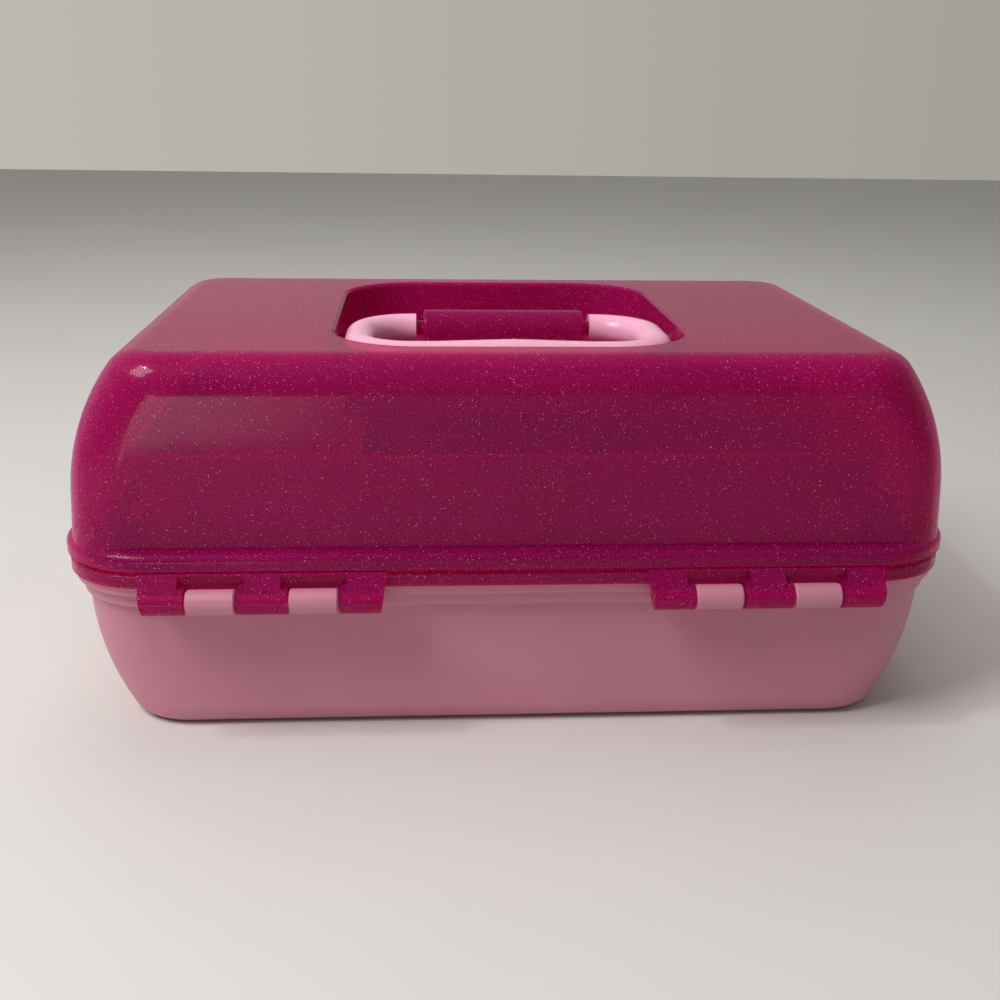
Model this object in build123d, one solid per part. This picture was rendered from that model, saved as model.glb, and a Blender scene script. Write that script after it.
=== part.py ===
"""Train case for make-up: a clear lid hinged to an opaque base, with a folding carry handle in the
lid's top, a tray that swings up and back as the lid opens, a mirror and a front catch.

Millimetres. X runs along the hinge line, -Y is the front with the catch, +Y is the hinge side and
Z is up. The origin is the middle of the underside.
"""
from build123d import *
import math
import os

# ---------------------------------------------------------------- driving dimensions
# Overall sizes, over the lid's bead
LENGTH = 330.0
DEPTH = 206.0
HEIGHT = 140.5
SPLIT_Z = 59.2            # where the lid's skirt rests on the base's rim
WALL = 2.4                # moulded wall of both shells
WALL_DRAFT = 0.057        # slope of the end walls, millimetres in per millimetre of height

# Lid: bead, skirt and body
LID_INSET = 3.5           # from the bead in to the lid's end wall, at the bead's underside
LID_SIDE_INSET = 5.4      # from the bead in to the lid's long walls
BEAD_TOP_Z = SPLIT_Z + 12.8
BEAD_Z = SPLIT_Z + 5.8    # underside of the bead
BEAD_R = 3.2              # rounding of the bead's upper edge
BEAD_BEVEL = 0.9
GROOVE_HEIGHT = 0.9       # groove between bead and skirt
GROOVE_INSET = 2.0
SKIRT_INSET = 0.9
SKIRT_WALL = 2.4
SKIRT_BEVEL = 0.6
SKIRT_ROOM_Z = SPLIT_Z + 9.4   # top of the wider space inside the skirt
RIM_CORNER_R = 33.0       # plan corner of the bead
LID_CORNER_R = 20.0       # plan corner of the lid's body
LID_TURN_Z = HEIGHT - 50.8     # the end walls turn into an arc here
LID_ARC_R = 84.0
TOP_EDGE_R = 13.0         # rounding around the lid's flat top

# Base: two stepped bands at the rim and a body that curves under at the ends
BAND_INSET = 2.6          # upper band, in from the bead
BAND_Z = SPLIT_Z - 4.2
BAND_BEVEL = 0.8
LEDGE_INSET = 5.0         # lower band, in from the bead
LEDGE_Z = SPLIT_Z - 9.4
LEDGE_BEVEL = 1.2
BASE_INSET = 6.8          # base's end wall, in from the bead, at the rim
BASE_SIDE_INSET = 8.4     # base's long walls, in from the bead
BASE_CORNER_R = 22.3
BASE_TURN_Z = SPLIT_Z - 13.2   # the end walls turn into an arc here
BASE_ARC_R = 95.0
FOOT_R = 8.0              # rounding around the flat underside
SHELF_Z = SPLIT_Z - 3.2   # inside, where the wall steps out to the rim
TONGUE_HEIGHT = 5.0       # lip of the base that stands inside the lid's skirt
TONGUE_WALL = 1.9
TONGUE_GAP = 0.6
TONGUE_BEVEL = 0.8

# Hinges: a three-lobed tab on the lid and two knuckles on the base, at each end
HINGE_Y_OUT = 2.5         # axis, outside the bead
HINGE_Z = SPLIT_Z - 3.9
KNUCKLE_R = 4.5
HINGE_X = LENGTH / 2 - 74.6    # middle of each hinge
KNUCKLE_PITCH = 36.0
KNUCKLE_WIDTH = 17.2
KNUCKLE_BEVEL = 0.6
KNUCKLE_GAP = 0.5         # from a knuckle's side to the lobe beside it
WEB_DROP = 0.4            # the knuckle's web stops this far below the skirt
NECK_NARROWING = 2.5      # each side of a lobe's neck is this much narrower than its barrel
NECK_Z = SPLIT_Z + 1.0    # the necks stand between here
NECK_TOP_Z = SPLIT_Z + 5.1     # and here
TAB_WIDTH = 87.5
TAB_TAPER = 2.5           # each side of the tab narrows by this, from top to bottom
HINGE_PIN_R = 1.7
HINGE_PIN_END = 2.5       # pin stops short of the tab's side
PIN_BEVEL = 0.3

# Handle and its recess
RECESS_DROP = 24.0
RECESS_CORNER_R = 32.0
RECESS_DRAFT_DEG = 5.0
RECESS_FLOOR_R = 7.0
RECESS_UNDER_BEVEL = 5.5  # the same edge on the recess's hidden underside
RECESS_LIP = 0.9          # bevel around the recess's rim
BARREL_R = 7.4
BARREL_LENGTH = 66.0
BARREL_BELOW_TOP = 0.1
BARREL_FLARE = 1.4        # how much wider each side of the barrel's foot is
BARREL_END_R = 1.2
STUB_R = 3.0
STUB_LENGTH = 11.0
STUB_BEVEL = 0.5
HANDLE_R = 5.8
HANDLE_WIDTH = 128.0      # over the bends
HANDLE_REACH = 58.0       # from its pivot to the middle of the grip
RECESS_LENGTH = HANDLE_WIDTH + 6.0
RECESS_DEPTH = 2 * (HANDLE_REACH + 17.0)   # the handle folds flat to the front and to the back
HANDLE_LEAD = 1.5         # straight stretch before each bend
HANDLE_END_GAP = 3.0      # bare neck between barrel and handle
GRIP_SWELL_R = 6.6        # grip's radius at the middle
GRIP_SWELL_LENGTH = 62.0
REST_LEDGE = (5.0, 16.0)  # size of the ledges under the handle's bends, out from the wall and along it
RUN_GAP = 0.05            # radial clearance of a pin in its bore
LOOSE_GAP = 0.3           # clearance between faces that pass each other

# Tray, its two arms and their pins
TRAY_LENGTH = LENGTH - 47.0        # at the rim
TRAY_FRONT_Y = 20.0 - DEPTH / 2
TRAY_BACK_Y = DEPTH / 2 - 26.0
TRAY_TOP_Z = HEIGHT - 40.0
TRAY_BOTTOM_Z = SPLIT_Z + 0.8
TRAY_TAPER_DEG = 7.7
TRAY_WALL = 1.8
TRAY_CORNER_R = 14.0
TRAY_FLOOR_R = 4.0
TRAY_LIP = 2.0
TRAY_LIP_BEVEL = 0.6
LID_PIVOT_Y = DEPTH / 2 - 45.0     # where the lid carries the tray
LID_PIVOT_Z = SPLIT_Z + 12.3
TRAY_PIVOT_Y = 53.0 - DEPTH / 2    # where the arm carries the tray
TRAY_PIVOT_Z = SPLIT_Z + 6.8
ARM_X = LENGTH / 2 - 20.8          # inner face of the arm
ARM_THICK = 3.0
ARM_WIDTH = 12.0
ARM_RIB = 0.8             # depth of the pocket in the arm's outer face
ARM_POCKET = (15.6, 5.0)  # how much shorter than the arm's centres the pocket is, and its width
PIVOT_R = 2.0
PIVOT_HEAD_R = 4.0
PIVOT_HEAD = 1.4
PIVOT_HEAD_BEVEL = 0.6
PIVOT_GRIP = 5.0          # how deep a pivot pin sits in its boss
OPEN_PIVOT_GAP = 0.3      # radial clearance where the linkage closes on itself
BOSS_R = 5.5
BOSS_FLARE = 0.8          # how much wider a boss is where it meets the wall
FACE_GAP = 0.4            # side play between arm, boss and tray

# Tray's fixed walls and loose dividers
TRAY_SPINE_Y = 2.0        # long wall
TRAY_CROSS_X = (-58.0, 58.0)
TRAY_WALL_DROP = 5.0      # fixed walls stop this far below the rim
DIVIDER_X = (-70.0, 0.0, 70.0)
DIVIDER_THICK = 1.6
DIVIDER_DROP = 7.0
DIVIDER_DIP_R = 16.0      # finger dip in the top edge
DIVIDER_DIP_UP = 9.6      # its centre, above that edge
DIVIDER_SLOT = 0.15
SLOT_RIB = 1.6
SLOT_DEPTH = 1.2

# Mirror
MIRROR_LENGTH = 116.0
MIRROR_DEPTH = 96.0
MIRROR_THICK = 2.0
MIRROR_CORNER_R = 10.0
FRAME_BORDER = 5.0
FRAME_THICK = 4.4
FRAME_LIP = 1.0           # edge under the mirror, in height
FRAME_LIP_IN = 2.0        # and in width
FRAME_BEVEL = 1.4
MIRROR_GAP = 0.1

# Front catch
CATCH_WIDTH = 44.0
CATCH_PIVOT_Y_OUT = 4.6   # pin axis, in front of the bead
CATCH_PIVOT_Z = SPLIT_Z + 19.8
CATCH_BARREL_R = 3.6
CATCH_PIN_R = 1.5
CATCH_PLATE = 2.4
CATCH_GAP = 1.1           # from the bead to the back of the plate
CATCH_BOTTOM_Z = SPLIT_Z - 13.7
CATCH_NOSE_GAP = 0.4      # the nose snaps past the base's band by this
CATCH_NOSE_HEIGHT = 1.2
CATCH_EAR = 4.5
CATCH_EAR_WALL = 1.2      # closes each ear's outer side
CATCH_LIP_OUT = 5.0
CATCH_LIP_LOW = 1.5       # the lip's edge runs from this far below the plate's bottom
CATCH_LIP_HIGH = 0.6      # to this far above it
CATCH_SWEEP_UP = 10.0     # the plate's face starts to curve out to the lip this far above its bottom
CATCH_SWEEP_MID = (1.2, 4.2)   # a point on that curve: out from the face, up from the bottom
CATCH_SIDE_GAP = 0.5
CATCH_CORNER_R = 7.0
LUG_SIDE = 4.0            # the base's lug is narrower than the catch by this on each side
LUG_RISE = 0.6            # its underside slopes down from this far above the ledge
LUG_SLOPE = 1.8

# ---------------------------------------------------------------- sizes that follow
HALF_L = LENGTH / 2
HALF_D = DEPTH / 2
HINGE_Y = HALF_D + HINGE_Y_OUT
RECESS_FLOOR_Z = HEIGHT - RECESS_DROP
HANDLE_Z = HEIGHT - BARREL_BELOW_TOP - BARREL_R
ARM_Y = LID_PIVOT_Y - HINGE_Y          # the arm lies parallel to the line from hinge to lid pivot,
ARM_Z = LID_PIVOT_Z - HINGE_Z          # and has its length, so the tray stays level
BASE_PIVOT_Y = TRAY_PIVOT_Y - ARM_Y
BASE_PIVOT_Z = TRAY_PIVOT_Z - ARM_Z
TONGUE_INSET = SKIRT_INSET + SKIRT_WALL + TONGUE_GAP
SKIRT_Y = HALF_D - SKIRT_INSET
CATCH_Y = -HALF_D - CATCH_PIVOT_Y_OUT
FRAME_TOP_Z = RECESS_FLOOR_Z - WALL
TRAY_MIDDLE_Y = (TRAY_FRONT_Y + TRAY_BACK_Y) / 2
TRAY_DEPTH = TRAY_BACK_Y - TRAY_FRONT_Y
TRAY_TAPER = (TRAY_TOP_Z - TRAY_BOTTOM_Z) * math.tan(math.radians(TRAY_TAPER_DEG))
TRAY_END_X = TRAY_LENGTH / 2 - TRAY_TAPER - TRAY_WALL      # inner side of its end wall, at the floor


# ---------------------------------------------------------------- helpers
def plate(inset, z_low, z_high, low_bevel=0.0, high_bevel=0.0):
    """Slab with the bead's outline, drawn in by an inset, with bevelled edges where asked."""
    outline = RectangleRounded(LENGTH - 2 * inset, DEPTH - 2 * inset, RIM_CORNER_R - inset)
    slab = extrude(Pos(0, 0, z_low) * outline, z_high - z_low)
    if low_bevel:
        slab = chamfer(slab.edges().group_by(Axis.Z)[0], low_bevel)
    if high_bevel:
        slab = chamfer(slab.edges().group_by(Axis.Z)[-1], high_bevel)
    return slab


def shell_form(half_l, half_d, start_z, turn_z, end_z, arc_r, corner_r, edge_r, soften=fillet):
    """Closed body of a shell, from its open side at start_z to its flat at end_z.

    Seen from the front, each end is a drafted wall up to turn_z and then an arc that runs in to the flat.
    """
    up = 1 if end_z > start_z else -1
    lean = math.atan(WALL_DRAFT)
    turn_x = half_l - WALL_DRAFT * abs(turn_z - start_z)
    centre_x = turn_x - arc_r * math.cos(lean)
    centre_z = turn_z - up * arc_r * math.sin(lean)
    last = math.asin(up * (end_z - centre_z) / arc_r)
    middle = (lean + last) / 2
    on_arc = (centre_x + arc_r * math.cos(middle), centre_z + up * arc_r * math.sin(middle))
    flat_x = centre_x + arc_r * math.cos(last)
    section = Plane.XZ * make_face(
        Polyline((flat_x, end_z), (0, end_z), (0, start_z), (half_l, start_z), (turn_x, turn_z))
        + ThreePointArc((turn_x, turn_z), on_arc, (flat_x, end_z)))
    half = extrude(section, half_d, both=True)
    body = half + mirror(half, Plane.YZ)
    upright = body.edges().filter_by(
        lambda edge: abs(edge.center().X) > half_l / 2 and abs(edge.center().Y) > half_d / 2)
    body = fillet(upright, corner_r)
    flat = body.faces().sort_by(Axis.Z)[-1 if up > 0 else 0]
    return soften(flat.edges(), edge_r)


def tub_form(middle_y, top_z, low_z, length, depth, corner_r, taper_deg):
    """Solid with a rounded rectangle at the top that narrows downwards."""
    looking_down = Plane(origin=(0, middle_y, top_z), x_dir=(1, 0, 0), z_dir=(0, 0, -1))
    return extrude(looking_down * RectangleRounded(length, depth, corner_r), top_z - low_z, taper=taper_deg)


def rod(x_from, x_to, y, z, radius):
    """Round bar along X."""
    return Pos(x_from, y, z) * Rot(0, 90, 0) * Cylinder(
        radius, x_to - x_from, align=(Align.CENTER, Align.CENTER, Align.MIN))


def block(x, y, z):
    """Box given by its low and high value on each axis."""
    size = (x[1] - x[0], y[1] - y[0], z[1] - z[0])
    return Pos(x[0], y[0], z[0]) * Box(*size, align=(Align.MIN, Align.MIN, Align.MIN))


def side_profile(points, x_from, x_to):
    """Straight-sided outline of (y, z) points, drawn out along X."""
    outline = Plane.YZ * make_face(Polyline(*points, close=True))
    return Pos(x_from, 0, 0) * extrude(outline, x_to - x_from)


def both_sides(form):
    """A form at +X together with its mirror image at -X."""
    return form + mirror(form, Plane.YZ)


def round_boss(face_x, wall_x, y, z):
    """Boss on an end wall, with a blind bore for a pivot pin."""
    boss = Pos(face_x, y, z) * Rot(0, 90, 0) * Cone(
        BOSS_R, BOSS_R + BOSS_FLARE, wall_x - face_x, align=(Align.CENTER, Align.CENTER, Align.MIN))
    return boss - rod(face_x - 1, face_x + PIVOT_GRIP + RUN_GAP, y, z, PIVOT_R + RUN_GAP)


# ---------------------------------------------------------------- shells
def lid_body(inside):
    return shell_form(HALF_L - LID_INSET - inside, HALF_D - LID_SIDE_INSET - inside, BEAD_Z, LID_TURN_Z,
                      HEIGHT - inside, LID_ARC_R - inside, LID_CORNER_R - inside, TOP_EDGE_R - inside)


def base_body(inside, soften):
    return shell_form(HALF_L - BASE_INSET - inside, HALF_D - BASE_SIDE_INSET - inside, SPLIT_Z, BASE_TURN_Z,
                      inside, BASE_ARC_R - inside, BASE_CORNER_R - inside, FOOT_R - inside, soften)


def knuckle_centres():
    """Middles of the base's two knuckles, at the right-hand hinge."""
    return [HINGE_X - KNUCKLE_PITCH / 2, HINGE_X + KNUCKLE_PITCH / 2]


def base_knuckle(x):
    """Closed loop on the base's rim that holds the hinge pin."""
    low = x - KNUCKLE_WIDTH / 2
    loop = rod(low, low + KNUCKLE_WIDTH, HINGE_Y, HINGE_Z, KNUCKLE_R)
    loop += block((low, low + KNUCKLE_WIDTH), (HALF_D - LEDGE_INSET - WALL, HINGE_Y),
                  (HINGE_Z - KNUCKLE_R, SPLIT_Z - WEB_DROP))
    for end in (0, -1):
        loop = chamfer(loop.faces().sort_by(Axis.X)[end].edges(), KNUCKLE_BEVEL)
    return loop - rod(low - 1, low + KNUCKLE_WIDTH + 1, HINGE_Y, HINGE_Z, HINGE_PIN_R + RUN_GAP)


def catch_lug():
    """Lug that the catch snaps over, below the base's upper band."""
    back = -HALF_D + LEDGE_INSET + WALL / 2
    face = -HALF_D + BAND_INSET
    top = BAND_Z + BAND_BEVEL
    low = LEDGE_Z + LUG_RISE
    half = CATCH_WIDTH / 2 - LUG_SIDE
    return side_profile([(back, low), (face, low + LUG_SLOPE), (face, top), (back, top)], -half, half)


def make_base():
    shell = base_body(0, fillet)
    shell += plate(LEDGE_INSET, LEDGE_Z, BAND_Z, LEDGE_BEVEL)
    shell += plate(BAND_INSET, BAND_Z, SPLIT_Z, BAND_BEVEL)
    shell += plate(TONGUE_INSET, SPLIT_Z, SPLIT_Z + TONGUE_HEIGHT, 0, TONGUE_BEVEL)
    shell -= base_body(WALL, chamfer)
    shell -= plate(TONGUE_INSET + TONGUE_WALL, SHELF_Z, SPLIT_Z + TONGUE_HEIGHT + 1)
    for x in knuckle_centres():
        shell += both_sides(base_knuckle(x))
    arm_boss = round_boss(
        ARM_X + ARM_THICK + FACE_GAP, HALF_L - BASE_INSET - WALL, BASE_PIVOT_Y, BASE_PIVOT_Z)
    return shell + both_sides(arm_boss) + catch_lug()


def recess_form(outside, top_z):
    """Tapered tub of the handle's recess, or the same made larger by a wall's thickness."""
    tub = tub_form(0, top_z, RECESS_FLOOR_Z - outside, RECESS_LENGTH + 2 * outside,
                   RECESS_DEPTH + 2 * outside, RECESS_CORNER_R + outside, RECESS_DRAFT_DEG)
    floor_edges = tub.edges().group_by(Axis.Z)[0]
    return chamfer(floor_edges, RECESS_UNDER_BEVEL) if outside else fillet(floor_edges, RECESS_FLOOR_R)


def barrel_form(inside, low_z):
    """Round-topped block between the handle's arms, with a foot that widens to the recess's floor."""
    radius = BARREL_R - inside
    half = BARREL_LENGTH / 2 - inside
    foot = radius + BARREL_FLARE
    body = rod(-half, half, 0, HANDLE_Z, radius)
    return body + side_profile(
        [(-radius, HANDLE_Z), (radius, HANDLE_Z), (foot, low_z), (-foot, low_z)], -half, half)


def lid_tab():
    """Three-lobed hinge tab that hangs from the lid's skirt over the base's rim, at the right."""
    low, high = HINGE_X - TAB_WIDTH / 2, HINGE_X + TAB_WIDTH / 2
    foot_z = HINGE_Z - KNUCKLE_R
    tab = rod(low, high, HINGE_Y, HINGE_Z, KNUCKLE_R) + side_profile(
        [(HINGE_Y - KNUCKLE_R, HINGE_Z), (SKIRT_Y - 1, BEAD_Z), (SKIRT_Y + SKIRT_BEVEL, BEAD_Z),
         (HINGE_Y + KNUCKLE_R, HINGE_Z)], low, high)
    foot_low, foot_high = low + TAB_TAPER, high - TAB_TAPER
    outline = Plane.XZ * make_face(Polyline(
        (low, BEAD_Z), (high, BEAD_Z), (foot_high, foot_z - 1), (foot_low, foot_z - 1), close=True))
    tab &= extrude(outline, 2 * DEPTH, both=True)
    return tab - rod(low - 1, high + 1, HINGE_Y, HINGE_Z, HINGE_PIN_R + RUN_GAP)


def hinge_window(x):
    """Space cut from the tab for a knuckle of the base: wider between the lobes' necks."""
    low_z, out_y = HINGE_Z - 2 * KNUCKLE_R, HINGE_Y + 2 * KNUCKLE_R
    half = KNUCKLE_WIDTH / 2 + KNUCKLE_GAP
    below_skirt = block((x - half, x + half), (HALF_D - BAND_INSET, out_y), (low_z, SPLIT_Z))
    beside_skirt = block((x - half, x + half), (SKIRT_Y, out_y), (SPLIT_Z, NECK_Z))
    half += NECK_NARROWING
    necks = block((x - half, x + half), (SKIRT_Y, out_y), (NECK_Z, NECK_TOP_Z))
    return below_skirt + beside_skirt + necks


def rest_ledges():
    """Ledges in the recess under the handle's bends, one pair for each way that it folds."""
    out, along = REST_LEDGE
    slope = math.tan(math.radians(RECESS_DRAFT_DEG))
    top = HANDLE_Z - HANDLE_R - LOOSE_GAP
    wall = RECESS_LENGTH / 2 - slope * (HEIGHT - top)
    ledges = []
    for side in (1, -1):
        for way in (1, -1):
            middle = way * HANDLE_REACH / 2
            x = sorted((side * (wall - out), side * (wall + WALL / 2)))
            ledge = block(x, (middle - along / 2, middle + along / 2), (RECESS_FLOOR_Z - WALL / 2, top))
            ledges.append(ledge)
    return ledges


def catch_ear():
    """Ear that holds the catch's pin, at the right."""
    low = CATCH_WIDTH / 2 + CATCH_SIDE_GAP
    high = low + CATCH_EAR
    wall_y = -HALF_D + LID_SIDE_INSET + WALL / 2
    ear = rod(low, high, CATCH_Y, CATCH_PIVOT_Z, CATCH_BARREL_R) + side_profile(
        [(CATCH_Y, CATCH_PIVOT_Z - CATCH_BARREL_R), (wall_y, CATCH_PIVOT_Z - 2 * CATCH_BARREL_R),
         (wall_y, CATCH_PIVOT_Z + 2 * CATCH_BARREL_R), (CATCH_Y, CATCH_PIVOT_Z + CATCH_BARREL_R)], low, high)
    return ear - rod(0, high - CATCH_EAR_WALL, CATCH_Y, CATCH_PIVOT_Z, CATCH_PIN_R + RUN_GAP)


def make_lid():
    bead = plate(0, BEAD_Z, BEAD_TOP_Z, BEAD_BEVEL)
    bead = fillet(bead.edges().group_by(Axis.Z)[-1], BEAD_R)
    shell = lid_body(0) + bead
    shell += plate(GROOVE_INSET, BEAD_Z - GROOVE_HEIGHT, BEAD_Z)
    shell += plate(SKIRT_INSET, SPLIT_Z, BEAD_Z - GROOVE_HEIGHT, 0, SKIRT_BEVEL)
    tab = lid_tab()
    for x in knuckle_centres():
        tab -= hinge_window(x)
    shell += both_sides(tab)
    shell -= plate(SKIRT_INSET + SKIRT_WALL, SPLIT_Z - 1, SKIRT_ROOM_Z)
    shell -= lid_body(WALL)
    # the handle's recess, with the barrel that the handle turns on
    shell += recess_form(WALL, HEIGHT - WALL / 2)
    shell -= recess_form(0, HEIGHT + 1)
    lip = Pos(0, 0, HEIGHT - RECESS_LIP) * RectangleRounded(RECESS_LENGTH, RECESS_DEPTH, RECESS_CORNER_R)
    shell -= extrude(lip, 2 * RECESS_LIP, taper=-45)
    barrel = barrel_form(0, RECESS_FLOOR_Z - WALL / 2)
    shell += fillet(barrel.edges().filter_by(GeomType.CIRCLE), BARREL_END_R)
    shell -= barrel_form(WALL, RECESS_FLOOR_Z - WALL - 1)
    stub = rod(BARREL_LENGTH / 2 - 0.5, BARREL_LENGTH / 2 + STUB_LENGTH, 0, HANDLE_Z, STUB_R)
    shell += both_sides(chamfer(stub.edges().sort_by(Axis.X)[-1], STUB_BEVEL))
    for ledge in rest_ledges():
        shell += ledge
    tray_boss = round_boss(ARM_X, HALF_L - LID_INSET - WALL, LID_PIVOT_Y, LID_PIVOT_Z)
    return shell + both_sides(tray_boss) + both_sides(catch_ear())


# ---------------------------------------------------------------- hinge pins
def make_hinge_pin(side):
    low = HINGE_X - TAB_WIDTH / 2 + HINGE_PIN_END
    high = HINGE_X + TAB_WIDTH / 2 - HINGE_PIN_END
    pin = rod(low, high, HINGE_Y, HINGE_Z, HINGE_PIN_R)
    pin = chamfer(pin.edges().filter_by(GeomType.CIRCLE), PIN_BEVEL)
    return pin if side > 0 else mirror(pin, Plane.YZ)


# ---------------------------------------------------------------- handle
def make_handle():
    """Round bar bent to a long loop that is open at the barrel, with a grip that swells."""
    end_x = BARREL_LENGTH / 2 + HANDLE_END_GAP
    far_x = HANDLE_WIDTH / 2 - HANDLE_R
    corners = [(end_x, 0), (far_x, 0), (far_x, HANDLE_REACH), (0, HANDLE_REACH)]
    path = FilletPolyline(*[(x, y, HANDLE_Z) for x, y in corners], radius=far_x - end_x - HANDLE_LEAD)
    arm = sweep(Pos(end_x, 0, HANDLE_Z) * Rot(0, 90, 0) * Circle(HANDLE_R), path)
    swell = Cone(GRIP_SWELL_R, HANDLE_R - RUN_GAP, GRIP_SWELL_LENGTH / 2,
                 align=(Align.CENTER, Align.CENTER, Align.MIN))
    swell = Pos(0, HANDLE_REACH, HANDLE_Z) * Rot(0, 90, 0) * swell
    bore = rod(end_x - 1, BARREL_LENGTH / 2 + STUB_LENGTH + STUB_BEVEL, 0, HANDLE_Z, STUB_R + RUN_GAP)
    return both_sides(arm + swell - bore)


# ---------------------------------------------------------------- tray
def tray_form(inside):
    """Open-topped tub of the tray, drawn in by a wall's thickness."""
    tub = tub_form(TRAY_MIDDLE_Y, TRAY_TOP_Z, TRAY_BOTTOM_Z + inside, TRAY_LENGTH - 2 * inside,
                   TRAY_DEPTH - 2 * inside, TRAY_CORNER_R - inside, TRAY_TAPER_DEG)
    return fillet(tub.edges().group_by(Axis.Z)[0], TRAY_FLOOR_R - inside)


def slot_ribs(x):
    """Two pairs of ribs that hold a loose divider, at the spine and at the front wall."""
    gap = DIVIDER_THICK / 2 + DIVIDER_SLOT
    heights = (TRAY_BOTTOM_Z + TRAY_WALL / 2, TRAY_TOP_Z - DIVIDER_DROP - 1)
    spine_y = TRAY_SPINE_Y - TRAY_WALL / 2
    front_y = TRAY_FRONT_Y + TRAY_TAPER + TRAY_WALL
    ribs = []
    for low in (x - gap - SLOT_RIB, x + gap):
        ribs.append(block((low, low + SLOT_RIB), (spine_y - SLOT_DEPTH, TRAY_SPINE_Y), heights))
        ribs.append(block((low, low + SLOT_RIB), (TRAY_FRONT_Y, front_y + SLOT_DEPTH), heights))
    return ribs


def make_tray():
    outer = tray_form(0)
    rim = extrude(Pos(0, TRAY_MIDDLE_Y, TRAY_TOP_Z - TRAY_LIP) * RectangleRounded(
        TRAY_LENGTH + 2 * TRAY_LIP, TRAY_DEPTH + 2 * TRAY_LIP, TRAY_CORNER_R + TRAY_LIP), TRAY_LIP)
    rim = chamfer(rim.edges().group_by(Axis.Z)[-1], TRAY_LIP_BEVEL)
    tray = outer + rim - tray_form(TRAY_WALL)
    heights = (TRAY_BOTTOM_Z + TRAY_WALL / 2, TRAY_TOP_Z - TRAY_WALL_DROP)
    half = TRAY_WALL / 2
    walls = block((-HALF_L, HALF_L), (TRAY_SPINE_Y - half, TRAY_SPINE_Y + half), heights)
    for x in TRAY_CROSS_X:
        walls += block((x - half, x + half), (TRAY_SPINE_Y, HALF_D), heights)
    for x in DIVIDER_X:
        for rib in slot_ribs(x):
            walls += rib
    tray += walls & outer
    # pads for the pivots at each end
    pad_face = ARM_X - FACE_GAP
    for y, z, gap in ((TRAY_PIVOT_Y, TRAY_PIVOT_Z, RUN_GAP), (LID_PIVOT_Y, LID_PIVOT_Z, OPEN_PIVOT_GAP)):
        tray += both_sides(rod(TRAY_END_X, pad_face, y, z, BOSS_R))
        tray -= both_sides(rod(TRAY_END_X - TRAY_WALL, pad_face + 1, y, z, PIVOT_R + gap))
    return tray


def make_divider(x):
    """Loose divider of the tray's front trough, with a dipped top edge."""
    half = DIVIDER_THICK / 2
    back = TRAY_SPINE_Y - TRAY_WALL / 2 - DIVIDER_SLOT
    top = TRAY_TOP_Z - DIVIDER_DROP
    room = tray_form(TRAY_WALL + DIVIDER_SLOT)
    divider = block((x - half, x + half), (TRAY_FRONT_Y, back), (TRAY_BOTTOM_Z, top)) & room
    dip = rod(x - 1 - half, x + 1 + half, (TRAY_FRONT_Y + back) / 2, top + DIVIDER_DIP_UP, DIVIDER_DIP_R)
    return divider - dip


# ---------------------------------------------------------------- tray linkage
def make_arm(side):
    """Flat link with raised eyes, between the base's boss and the tray."""
    length = math.hypot(ARM_Y, ARM_Z)
    tilt = math.degrees(math.atan2(ARM_Z, ARM_Y))
    bar = extrude(Pos(length / 2, 0, 0) * SlotCenterToCenter(length, ARM_WIDTH), ARM_THICK)
    pocket = Pos(length / 2, 0, ARM_THICK - ARM_RIB) * SlotCenterToCenter(
        length - ARM_POCKET[0], ARM_POCKET[1])
    bar -= extrude(pocket, ARM_RIB + 1)
    for x, gap in ((0, RUN_GAP), (length, RUN_GAP if side > 0 else OPEN_PIVOT_GAP)):
        bar -= Pos(x, 0, 0) * Cylinder(PIVOT_R + gap, 4 * ARM_THICK)
    # local X runs along the arm, local Z outwards along the hinge line
    place = Plane(origin=(ARM_X, BASE_PIVOT_Y, BASE_PIVOT_Z), x_dir=(0, 1, 0), z_dir=(1, 0, 0))
    arm = place * (Rot(0, 0, tilt) * bar)
    return arm if side > 0 else mirror(arm, Plane.YZ)


def make_pivot_pin(side, x_head, towards, y, z, shank):
    """Headed pin; towards is +1 where the shank points outwards from the middle of the case."""
    head_from = x_head - PIVOT_HEAD if towards > 0 else x_head
    head = rod(head_from, head_from + PIVOT_HEAD, y, z, PIVOT_HEAD_R)
    head = chamfer(head.edges().sort_by(Axis.X)[0 if towards > 0 else -1], PIVOT_HEAD_BEVEL)
    ends = sorted((x_head, x_head + towards * shank))
    pin = head + rod(ends[0], ends[1], y, z, PIVOT_R)
    return pin if side > 0 else mirror(pin, Plane.YZ)


def make_base_pivot(side):
    """Fixed in the base's boss, its head on the inner side of the arm."""
    x_head = ARM_X - FACE_GAP / 2
    shank = FACE_GAP / 2 + ARM_THICK + FACE_GAP + PIVOT_GRIP
    return make_pivot_pin(side, x_head, 1, BASE_PIVOT_Y, BASE_PIVOT_Z, shank)


def make_tray_pivot(side):
    """Fixed in the tray's pad, its head on the outer side of the arm."""
    x_head = ARM_X + ARM_THICK + FACE_GAP / 2
    shank = FACE_GAP / 2 + ARM_THICK + FACE_GAP + PIVOT_GRIP
    return make_pivot_pin(side, x_head, -1, TRAY_PIVOT_Y, TRAY_PIVOT_Z, shank)


def make_lid_pivot(side):
    """Fixed in the lid's boss, its head inside the tray."""
    x_head = TRAY_END_X - FACE_GAP
    shank = ARM_X + PIVOT_GRIP - x_head
    return make_pivot_pin(side, x_head, 1, LID_PIVOT_Y, LID_PIVOT_Z, shank)


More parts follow.
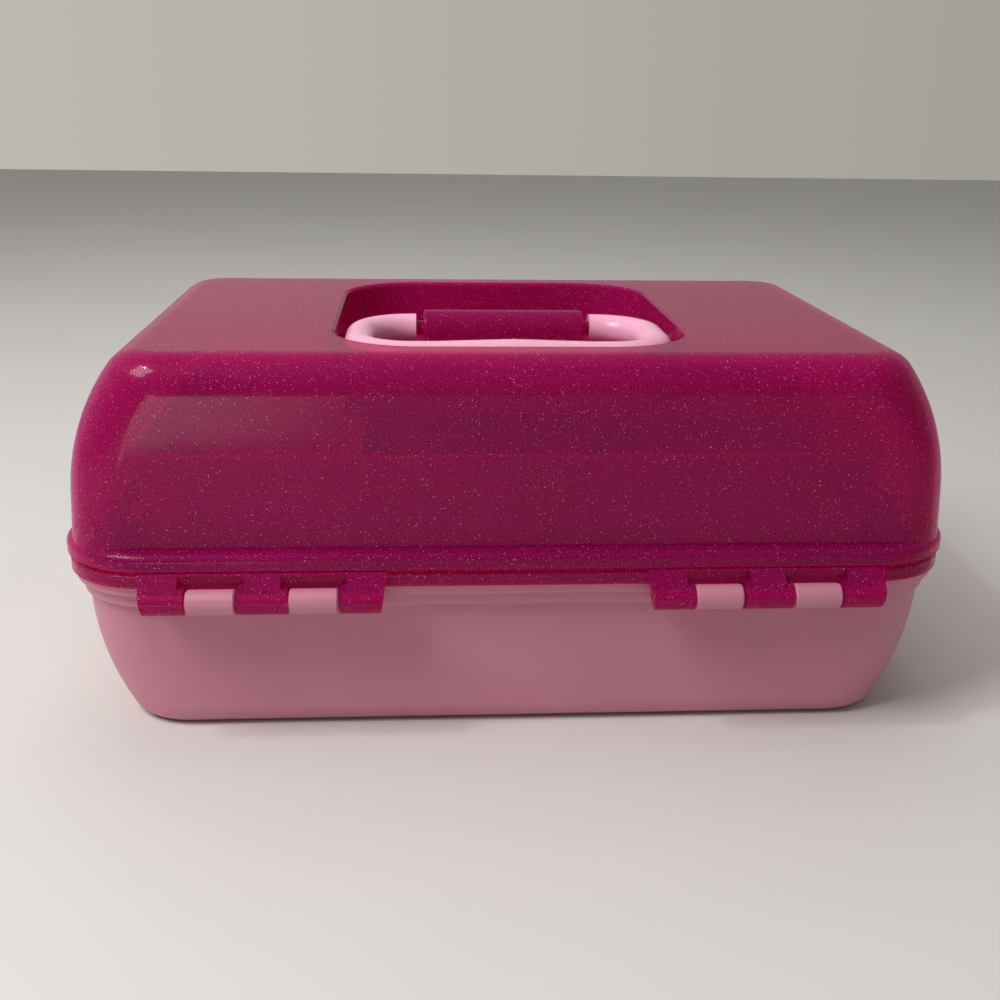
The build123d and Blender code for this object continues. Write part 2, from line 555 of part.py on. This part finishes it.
# ---------------------------------------------------------------- mirror
def make_mirror_frame():
    border, corner = FRAME_BORDER, MIRROR_CORNER_R + FRAME_BORDER
    low_z = FRAME_TOP_Z - FRAME_THICK
    frame = extrude(Pos(0, 0, low_z) * RectangleRounded(
        MIRROR_LENGTH + 2 * border, MIRROR_DEPTH + 2 * border, corner), FRAME_THICK)
    frame = chamfer(frame.edges().group_by(Axis.Z)[0], FRAME_BEVEL)
    pocket = RectangleRounded(MIRROR_LENGTH, MIRROR_DEPTH, MIRROR_CORNER_R)
    frame -= extrude(Pos(0, 0, low_z + FRAME_LIP) * pocket, MIRROR_THICK + MIRROR_GAP)
    window = RectangleRounded(
        MIRROR_LENGTH - 2 * FRAME_LIP_IN, MIRROR_DEPTH - 2 * FRAME_LIP_IN, MIRROR_CORNER_R - FRAME_LIP_IN)
    return frame - extrude(Pos(0, 0, low_z) * window, FRAME_THICK)


def make_mirror():
    inset = 2 * MIRROR_GAP
    glass = RectangleRounded(MIRROR_LENGTH - inset, MIRROR_DEPTH - inset, MIRROR_CORNER_R - inset / 2)
    return extrude(Pos(0, 0, FRAME_TOP_Z - FRAME_THICK + FRAME_LIP) * glass, MIRROR_THICK)


# ---------------------------------------------------------------- front catch
def make_catch():
    """Plate hinged on the lid, with a nose that snaps past the base's band and a thumb lip."""
    back = -HALF_D - CATCH_GAP
    front = back - CATCH_PLATE
    nose_tip = -HALF_D + BAND_INSET - CATCH_NOSE_GAP
    nose_z = LEDGE_Z - CATCH_NOSE_GAP
    lip = front - CATCH_LIP_OUT
    lip_low, lip_high = CATCH_BOTTOM_Z - CATCH_LIP_LOW, CATCH_BOTTOM_Z + CATCH_LIP_HIGH
    sweep_z = CATCH_BOTTOM_Z + CATCH_SWEEP_UP
    on_sweep = (front - CATCH_SWEEP_MID[0], CATCH_BOTTOM_Z + CATCH_SWEEP_MID[1])
    half = CATCH_WIDTH / 2
    section = Plane.YZ * make_face(
        Polyline((front, sweep_z), (front, CATCH_PIVOT_Z), (back, CATCH_PIVOT_Z), (back, nose_z),
                 (nose_tip, nose_z), (nose_tip, nose_z - CATCH_NOSE_HEIGHT), (back, CATCH_BOTTOM_Z),
                 (lip, lip_low), (lip, lip_high))
        + ThreePointArc((lip, lip_high), on_sweep, (front, sweep_z)))
    latch = Pos(-half, 0, 0) * extrude(section, CATCH_WIDTH)
    tall = CATCH_PIVOT_Z + CATCH_BARREL_R + CATCH_CORNER_R - lip_low
    outline = Plane.XZ * (Pos(0, lip_low + tall / 2) * RectangleRounded(CATCH_WIDTH, tall, CATCH_CORNER_R))
    latch &= extrude(outline, 2 * DEPTH, both=True)
    latch += rod(-half, half, CATCH_Y, CATCH_PIVOT_Z, CATCH_BARREL_R)
    return latch - rod(-half - 1, half + 1, CATCH_Y, CATCH_PIVOT_Z, CATCH_PIN_R + RUN_GAP)


def make_catch_pin():
    half = CATCH_WIDTH / 2 + CATCH_SIDE_GAP + CATCH_EAR - CATCH_EAR_WALL - PIN_BEVEL
    pin = rod(-half, half, CATCH_Y, CATCH_PIVOT_Z, CATCH_PIN_R)
    return chamfer(pin.edges().filter_by(GeomType.CIRCLE), PIN_BEVEL)


# ---------------------------------------------------------------- assembly
def make_all():
    parts = {
        "base_shell": make_base(),
        "lid_shell": make_lid(),
        "carry_handle": make_handle(),
        "hinge_pin_left": make_hinge_pin(-1),
        "hinge_pin_right": make_hinge_pin(1),
        "tray": make_tray(),
        "mirror_frame": make_mirror_frame(),
        "mirror_glass": make_mirror(),
        "catch_plate": make_catch(),
        "catch_pin": make_catch_pin(),
    }
    for name, side in (("left", -1), ("right", 1)):
        parts["tray_arm_" + name] = make_arm(side)
        parts["base_pivot_pin_" + name] = make_base_pivot(side)
        parts["tray_pivot_pin_" + name] = make_tray_pivot(side)
        parts["lid_pivot_pin_" + name] = make_lid_pivot(side)
    for number, x in enumerate(DIVIDER_X, 1):
        parts["tray_divider_%d" % number] = make_divider(x)
    return parts


os.makedirs("parts", exist_ok=True)
for node, form in make_all().items():
    export_step(form, "parts/%s.step" % node)
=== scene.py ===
"""Looks of a make-up case: a clear glittering lid on a pink base, a folding carry handle, a tray on two
arms, a mirror and a front catch.

Metres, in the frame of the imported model: X along the hinge line, +Y the hinge side, Z up.
"""
import math

import bpy
from mathutils import Matrix, Vector

MM = 0.001
MIX_A, MIX_B, MIX_RESULT = 6, 7, 2           # colour sockets of a Mix node
NUMBER_A, NUMBER_B, NUMBER_RESULT = 2, 3, 0  # and its number sockets

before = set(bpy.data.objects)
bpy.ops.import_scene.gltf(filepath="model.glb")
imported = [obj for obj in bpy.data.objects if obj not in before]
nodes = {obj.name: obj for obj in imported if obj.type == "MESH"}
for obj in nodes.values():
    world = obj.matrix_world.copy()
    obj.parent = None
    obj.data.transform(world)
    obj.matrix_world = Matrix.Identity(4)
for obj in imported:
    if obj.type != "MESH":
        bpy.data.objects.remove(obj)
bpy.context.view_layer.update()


# ---------------------------------------------------------------- node helpers
def srgb(hex_colour):
    """Linear colour of an sRGB hex value."""
    parts = [int(hex_colour[i:i + 2], 16) / 255 for i in (0, 2, 4)]
    return (*[c / 12.92 if c <= 0.04045 else ((c + 0.055) / 1.055) ** 2.4 for c in parts], 1.0)


def add(tree, kind, sockets=None, **settings):
    """Adds a node, sets its properties, and sets or links its inputs."""
    node = tree.nodes.new(kind)
    for name, value in settings.items():
        setattr(node, name, value)
    for key, value in (sockets or {}).items():
        if isinstance(value, bpy.types.NodeSocket):
            tree.links.new(value, node.inputs[key])
        else:
            node.inputs[key].default_value = value
    return node


def new_material(name):
    """An empty material: its node tree, its output node and its Object coordinates."""
    material = bpy.data.materials.new(name)
    material.use_nodes = True
    tree = material.node_tree
    tree.nodes.clear()
    output = tree.nodes.new("ShaderNodeOutputMaterial")
    return material, tree, output, add(tree, "ShaderNodeTexCoord").outputs["Object"]


def per_metre(size_mm):
    """Texture scale at which one cell or ripple is this wide."""
    return 1 / (size_mm * MM)


# ---------------------------------------------------------------- materials
def pink_polypropylene(name, main, shade, roughness):
    """Pigmented polypropylene, injection moulded: an even milky pink that drifts a little over the wall,
    with a satin shine that a fine skin blurs."""
    material, tree, output, coords = new_material(name)
    drift = add(tree, "ShaderNodeTexNoise", {"Vector": coords, "Scale": per_metre(38), "Detail": 2.0})
    colour = add(tree, "ShaderNodeMix", {0: drift.outputs["Fac"], MIX_A: srgb(main), MIX_B: srgb(shade)},
                 data_type="RGBA")
    rub = add(tree, "ShaderNodeTexNoise", {"Vector": coords, "Scale": per_metre(9), "Detail": 4.0})
    shine = add(tree, "ShaderNodeMapRange", {"Value": rub.outputs["Fac"], "To Min": roughness - 0.05,
                                             "To Max": roughness + 0.07})
    skin = add(tree, "ShaderNodeTexNoise", {"Vector": coords, "Scale": per_metre(0.9), "Detail": 1.0})
    flow = add(tree, "ShaderNodeTexNoise", {"Vector": coords, "Scale": per_metre(22), "Detail": 1.0})
    skin_bump = add(tree, "ShaderNodeBump", {"Height": skin.outputs["Fac"], "Strength": 0.25,
                                             "Distance": 0.02 * MM})
    flow_bump = add(tree, "ShaderNodeBump", {"Height": flow.outputs["Fac"], "Strength": 0.5,
                                             "Distance": 0.25 * MM, "Normal": skin_bump.outputs["Normal"]})
    shader = add(tree, "ShaderNodeBsdfPrincipled", {
        "Base Color": colour.outputs[MIX_RESULT], "Roughness": shine.outputs["Result"], "IOR": 1.49,
        "Normal": flow_bump.outputs["Normal"]})
    tree.links.new(shader.outputs["BSDF"], output.inputs["Surface"])
    return material


def flake_layer(tree, coords, spacing_mm, reach, brightness):
    """One size of glitter: flakes lie at random depths, so the surface cuts some wide and misses most."""
    cells = add(tree, "ShaderNodeTexVoronoi", {"Vector": coords, "Scale": per_metre(spacing_mm)})
    spot = add(tree, "ShaderNodeMapRange", {"Value": cells.outputs["Distance"], "From Min": reach,
                                            "From Max": reach * 0.5, "To Max": brightness})
    tone = add(tree, "ShaderNodeSeparateColor", {"Color": cells.outputs["Color"]})
    lit = add(tree, "ShaderNodeMath", {0: spot.outputs["Result"], 1: tone.outputs["Red"]},
              operation="MULTIPLY")
    return lit.outputs["Value"]


# Each wall of the lid has an outer and an inner skin, and the view passes both.
SKIN_COVER = 0.3        # share of the view that one skin hides
FLAKE_COVER = 0.95      # the same where a flake lies
SHINE_FACING = 0.008    # share that the polish mirrors, seen square on
SHINE_GRAZING = 0.5     # and seen at a flat angle


def glitter_polystyrene(name):
    """Clear magenta polystyrene with glitter moulded in: what stands behind it shows deep red through its
    dye, pale specks crowd and thin out in it, and its polished skin shines most at a flat angle."""
    material, tree, output, coords = new_material(name)
    coarse = flake_layer(tree, coords, 1.3, 0.17, 1.0)
    fine = flake_layer(tree, coords, 0.8, 0.24, 0.45)
    glitter = add(tree, "ShaderNodeMath", {0: coarse, 1: fine}, operation="MAXIMUM", use_clamp=True)
    crowd = add(tree, "ShaderNodeTexNoise", {"Vector": coords, "Scale": per_metre(24), "Detail": 2.0})
    density = add(tree, "ShaderNodeMapRange", {
        "Value": crowd.outputs["Fac"], "From Min": 0.3, "From Max": 0.7, "To Min": 0.55, "To Max": 1.0})
    glitter = add(tree, "ShaderNodeMath", {0: glitter.outputs["Value"], 1: density.outputs["Result"]},
                  operation="MULTIPLY")

    drift = add(tree, "ShaderNodeTexNoise", {"Vector": coords, "Scale": per_metre(60), "Detail": 2.0})
    dye = add(tree, "ShaderNodeMix", {
        0: drift.outputs["Fac"], MIX_A: srgb("CC1284"), MIX_B: srgb("B80A76")}, data_type="RGBA")
    speckled = add(tree, "ShaderNodeMix", {0: glitter.outputs["Value"], MIX_A: dye.outputs[MIX_RESULT],
                                           MIX_B: srgb("FFD2E6")}, data_type="RGBA")
    body = add(tree, "ShaderNodeBsdfPrincipled", {
        "Base Color": speckled.outputs[MIX_RESULT], "Roughness": 0.35, "IOR": 1.49,
        "Specular IOR Level": 0.15})
    clear = add(tree, "ShaderNodeBsdfTransparent", {"Color": srgb("EC50B0")})
    cover = add(tree, "ShaderNodeMapRange", {"Value": glitter.outputs["Value"], "To Min": SKIN_COVER,
                                             "To Max": FLAKE_COVER})
    dyed = add(tree, "ShaderNodeMixShader", {0: cover.outputs["Result"], 1: clear.outputs["BSDF"],
                                             2: body.outputs["BSDF"]})

    flow = add(tree, "ShaderNodeTexNoise", {"Vector": coords, "Scale": per_metre(26), "Detail": 1.0})
    ripple = add(tree, "ShaderNodeBump", {"Height": flow.outputs["Fac"], "Strength": 0.4,
                                          "Distance": 0.25 * MM})
    slant = add(tree, "ShaderNodeLayerWeight", {"Blend": 0.5})
    fifth_power = add(tree, "ShaderNodeMath", {0: slant.outputs["Facing"], 1: 5.0}, operation="POWER")
    shine = add(tree, "ShaderNodeMapRange", {"Value": fifth_power.outputs["Value"], "To Min": SHINE_FACING,
                                             "To Max": SHINE_GRAZING})
    polish = add(tree, "ShaderNodeBsdfGlossy", {"Color": srgb("FFFFFF"), "Roughness": 0.08,
                                                "Normal": ripple.outputs["Normal"]})
    surface = add(tree, "ShaderNodeMixShader", {0: shine.outputs["Result"], 1: dyed.outputs["Shader"],
                                                2: polish.outputs["BSDF"]})
    tree.links.new(surface.outputs["Shader"], output.inputs["Surface"])
    return material


def silvered_glass(name):
    """Silvered mirror glass: a cold sharp reflection with faint finger smears."""
    material, tree, output, coords = new_material(name)
    smear = add(tree, "ShaderNodeTexNoise", {"Vector": coords, "Scale": per_metre(18), "Detail": 5.0})
    haze = add(tree, "ShaderNodeMapRange", {"Value": smear.outputs["Fac"], "From Min": 0.45, "To Min": 0.02,
                                            "To Max": 0.09})
    tint = add(tree, "ShaderNodeMix", {0: smear.outputs["Fac"], MIX_A: srgb("EEF2F1"), MIX_B: srgb("E3E8E8")},
               data_type="RGBA")
    shader = add(tree, "ShaderNodeBsdfPrincipled", {
        "Base Color": tint.outputs[MIX_RESULT], "Metallic": 1.0, "Roughness": haze.outputs["Result"]})
    tree.links.new(shader.outputs["BSDF"], output.inputs["Surface"])
    return material


def laminate(name):
    """Pale table laminate: almost white, with a dull even sheen."""
    material, tree, output, coords = new_material(name)
    cloud = add(tree, "ShaderNodeTexNoise", {"Vector": coords, "Scale": per_metre(160), "Detail": 3.0})
    colour = add(tree, "ShaderNodeMix", {
        0: cloud.outputs["Fac"], MIX_A: srgb("DFDDD9"), MIX_B: srgb("D9D6D2")}, data_type="RGBA")
    shader = add(tree, "ShaderNodeBsdfPrincipled", {"Base Color": colour.outputs[MIX_RESULT],
                                                    "Roughness": 0.55})
    tree.links.new(shader.outputs["BSDF"], output.inputs["Surface"])
    return material


def dress(material, *names):
    """Gives CAD nodes a material in their only slot."""
    for name in names:
        nodes[name].data.materials.clear()
        nodes[name].data.materials.append(material)


SIDES = ("left", "right")
dress(glitter_polystyrene("lid_clear_glitter_polystyrene"), "lid_shell")
dress(pink_polypropylene("base_pink_polypropylene", "CE869B", "C77E93", 0.42), "base_shell")
dress(pink_polypropylene("handle_pale_pink_polypropylene", "F7B2CF", "F3ABC9", 0.26),
      "carry_handle", "catch_plate")
dress(pink_polypropylene("tray_pink_polypropylene", "BC4E7A", "B4466F", 0.4),
      "tray", "mirror_frame", *["tray_arm_" + side for side in SIDES],
      *["tray_divider_%d" % number for number in (1, 2, 3)])
dress(pink_polypropylene("pin_pink_acetal", "E093AC", "DA8AA4", 0.3), "catch_pin",
      *[pin + side for side in SIDES for pin in ("hinge_pin_", "base_pivot_pin_", "tray_pivot_pin_",
                                                 "lid_pivot_pin_")])
dress(silvered_glass("mirror_silvered_glass"), "mirror_glass")

# ---------------------------------------------------------------- floor
FLOOR_SIZE = 6.0
bpy.ops.object.select_all(action="DESELECT")
bpy.ops.mesh.primitive_plane_add(size=FLOOR_SIZE, location=(0, 0, 0))
floor = bpy.context.object
floor.name = "table_top"
floor.data.materials.append(laminate("table_pale_laminate"))


# ---------------------------------------------------------------- light
def soft_box(name, place, aim, size, watts, in_gloss=True):
    """Square lamp of this size that faces a point. It can be kept out of reflections."""
    lamp = bpy.data.lights.new(name, "AREA")
    lamp.size = size
    lamp.energy = watts
    holder = bpy.data.objects.new(name, lamp)
    bpy.context.scene.collection.objects.link(holder)
    holder.location = place
    holder.rotation_euler = (Vector(aim) - Vector(place)).to_track_quat("-Z", "Y").to_euler()
    holder.visible_glossy = in_gloss
    return holder


LID_MIDDLE = (0, 0, 0.08)
soft_box("window_light", (0.70, 0.45, 1.0), LID_MIDDLE, 0.5, 10.0)
soft_box("room_light", (0.1, -0.5, 1.5), LID_MIDDLE, 1.2, 6.5, in_gloss=False)

# A low card stands beside the camera and is seen only in reflections. It gives the lid's wall a faint
# glow, and its narrow beam keeps it weak from other sides.
LID_WALL_GLOW = (0.075, 0.11, 0.11)
CARD_WIDTH, CARD_HEIGHT = 0.24, 0.08
CARD_BEAM = math.radians(26)
card = soft_box("window_card", (0.17, 0.46, 0.05), LID_WALL_GLOW, CARD_WIDTH, 0.007)
card.data.shape = "RECTANGLE"
card.data.size_y = CARD_HEIGHT
card.data.spread = CARD_BEAM
card.visible_diffuse = False

soft_box("ceiling_spot", (0.55, 0.25, 1.05), LID_MIDDLE, 0.035, 1.2)

# Seen directly, the room is pale, and brighter towards the window. In reflections it also darkens
# towards the camera's side. An even fill lights everything else.
FILL_STRENGTH = 0.28
CAMERA_SIDE_TONE = 0.3
world = bpy.data.worlds.new("plain_room")
bpy.context.scene.world = world
world.use_nodes = True
room = world.node_tree
room.nodes.clear()
rays = add(room, "ShaderNodeLightPath")
seen = add(room, "ShaderNodeMath", {0: rays.outputs["Is Camera Ray"], 1: rays.outputs["Is Glossy Ray"]},
           operation="MAXIMUM")
seen = add(room, "ShaderNodeMath", {0: seen.outputs["Value"], 1: rays.outputs["Is Transmission Ray"]},
           operation="MAXIMUM")
way = add(room, "ShaderNodeSeparateXYZ", {0: add(room, "ShaderNodeTexCoord").outputs["Generated"]})
to_window = add(room, "ShaderNodeMapRange", {"Value": way.outputs["X"], "From Min": -0.6, "From Max": 0.6})
wall_tone = add(room, "ShaderNodeMix", {0: to_window.outputs["Result"], MIX_A: srgb("9C9A92"),
                                        MIX_B: srgb("C6C2BA")}, data_type="RGBA")
darker = add(room, "ShaderNodeMapRange", {"Value": way.outputs["Y"], "From Min": -0.1, "From Max": 0.4,
                                          "To Min": 1.0, "To Max": CAMERA_SIDE_TONE})
dark_side = add(room, "ShaderNodeMix", {0: rays.outputs["Is Glossy Ray"], NUMBER_A: 1.0,
                                        NUMBER_B: darker.outputs["Result"]}, data_type="FLOAT")
fill = add(room, "ShaderNodeBackground", {"Color": srgb("F4F2F0"), "Strength": FILL_STRENGTH})
wall = add(room, "ShaderNodeBackground", {"Color": wall_tone.outputs[MIX_RESULT],
                                          "Strength": dark_side.outputs[NUMBER_RESULT]})
sky = add(room, "ShaderNodeMixShader", {0: seen.outputs["Value"], 1: fill.outputs["Background"],
                                        2: wall.outputs["Background"]})
add(room, "ShaderNodeOutputWorld", {"Surface": sky.outputs["Shader"]})

# ---------------------------------------------------------------- camera
# The view looks at the hinge side from a little above, turned and tipped slightly.
CAMERA_PLACE = Vector((35.1, 507.3, 228.0)) * MM
CAMERA_YAW = math.radians(3.97)
CAMERA_PITCH = math.radians(18.58)
CAMERA_ROLL = 0.016
CAMERA_LENS = 44.1
SENSOR_WIDTH = 36.0

level_share = math.cos(CAMERA_PITCH)
ahead = Vector((-math.sin(CAMERA_YAW) * level_share, -math.cos(CAMERA_YAW) * level_share,
                -math.sin(CAMERA_PITCH)))
level = Vector((-math.cos(CAMERA_YAW), math.sin(CAMERA_YAW), 0))
upright = level.cross(ahead)
right = math.cos(CAMERA_ROLL) * level + math.sin(CAMERA_ROLL) * upright
up = math.cos(CAMERA_ROLL) * upright - math.sin(CAMERA_ROLL) * level
camera = bpy.data.objects.new("camera", bpy.data.cameras.new("camera"))
bpy.context.scene.collection.objects.link(camera)
camera.data.lens = CAMERA_LENS
camera.data.sensor_width = SENSOR_WIDTH
camera.data.clip_start = 0.01
camera.matrix_world = Matrix.Translation(CAMERA_PLACE) @ Matrix((right, up, -ahead)).transposed().to_4x4()
bpy.context.scene.camera = camera
bpy.context.scene.view_settings.view_transform = "Standard"
